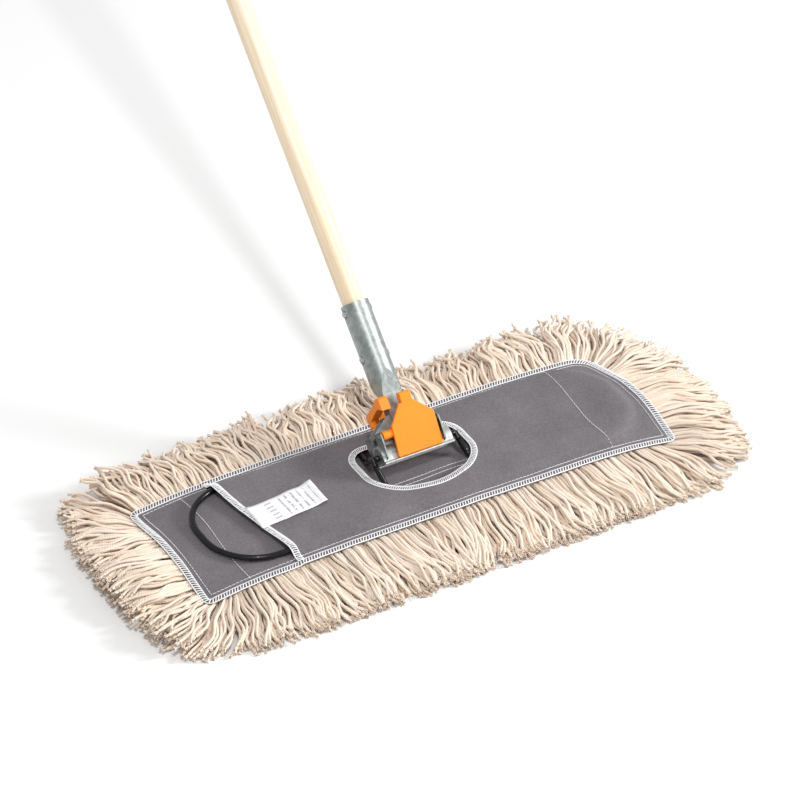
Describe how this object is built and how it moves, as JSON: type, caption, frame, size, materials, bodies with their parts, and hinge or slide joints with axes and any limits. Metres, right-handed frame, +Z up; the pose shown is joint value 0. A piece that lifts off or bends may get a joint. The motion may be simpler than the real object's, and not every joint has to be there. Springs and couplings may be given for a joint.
{
  "type": "flat mop",
  "caption": "Clip-on dust mop: fringed cotton head on a wire frame, with a steel and plastic clip and a leaning wooden pole.",
  "frame": {"origin": "on the floor, under the middle of the wire frame", "axes": "+X along the head, away from the pocket's mouth; +Y the way the pole leans back; +Z up"},
  "size_m": [0.678, 1.3141, 1.1828],
  "materials": {
    "grey_cloth": "woven, matt",
    "thread": "spun polyester thread",
    "label": "satin woven tape",
    "yarn": "natural cotton, plied",
    "black_wire": "gloss black coating",
    "galvanised": "zinc plated, satin",
    "bright_steel": "bright zinc",
    "orange_plastic": "satin moulded",
    "wood": "clear lacquer"
  },
  "bodies": {
    "mop_head": {"backing_cloth": "grey_cloth", "pocket_cloth": "grey_cloth", "outer_overlock": "thread", "window_overlock": "thread", "mouth_overlock": "thread", "care_label": "label", "stitch_rows": "thread", "yarn_strip_1": "yarn", "yarn_strip_2": "yarn", "yarn_strip_3": "yarn", "fringe_front": "yarn", "fringe_back": "yarn", "fringe_left": "yarn", "fringe_right": "yarn", "frame_wire_left": "black_wire", "frame_wire_right": "black_wire"},
    "handle": {"hub_shell": "galvanised", "hub_bush_left": "galvanised", "hub_bush_right": "galvanised", "clip_front_plate": "galvanised", "clip_rear_plate": "galvanised", "front_lever_pin": "bright_steel", "rear_lever_pin": "bright_steel", "front_spring": "bright_steel", "rear_spring": "bright_steel", "ferrule": "galvanised", "pole": "wood", "ferrule_rivets": "bright_steel", "body_rivets": "bright_steel"},
    "front_lever": {"front_lever": "orange_plastic"},
    "rear_lever": {"rear_lever": "orange_plastic"}
  },
  "joints": [
    {"name": "handle_tilt", "type": "hinge", "parent": "mop_head", "child": "handle", "pos_m": [-0.0025, 0, 0.048], "axis": [1, 0, 0], "range_deg": [-20, 110]},
    {"name": "front_lever_squeeze", "type": "hinge", "parent": "handle", "child": "front_lever", "pos_m": [-0.0025, 0.00303, 0.0706], "axis": [-1, 0, 0], "range_deg": [0, 10], "stiffness_Nm_per_rad": 0.6, "springref_deg": -20.05},
    {"name": "rear_lever_squeeze", "type": "hinge", "parent": "handle", "child": "rear_lever", "pos_m": [-0.0025, 0.02265, 0.05063], "axis": [1, 0, 0], "range_deg": [0, 10], "stiffness_Nm_per_rad": 0.6, "springref_deg": -20.05}
  ]
}
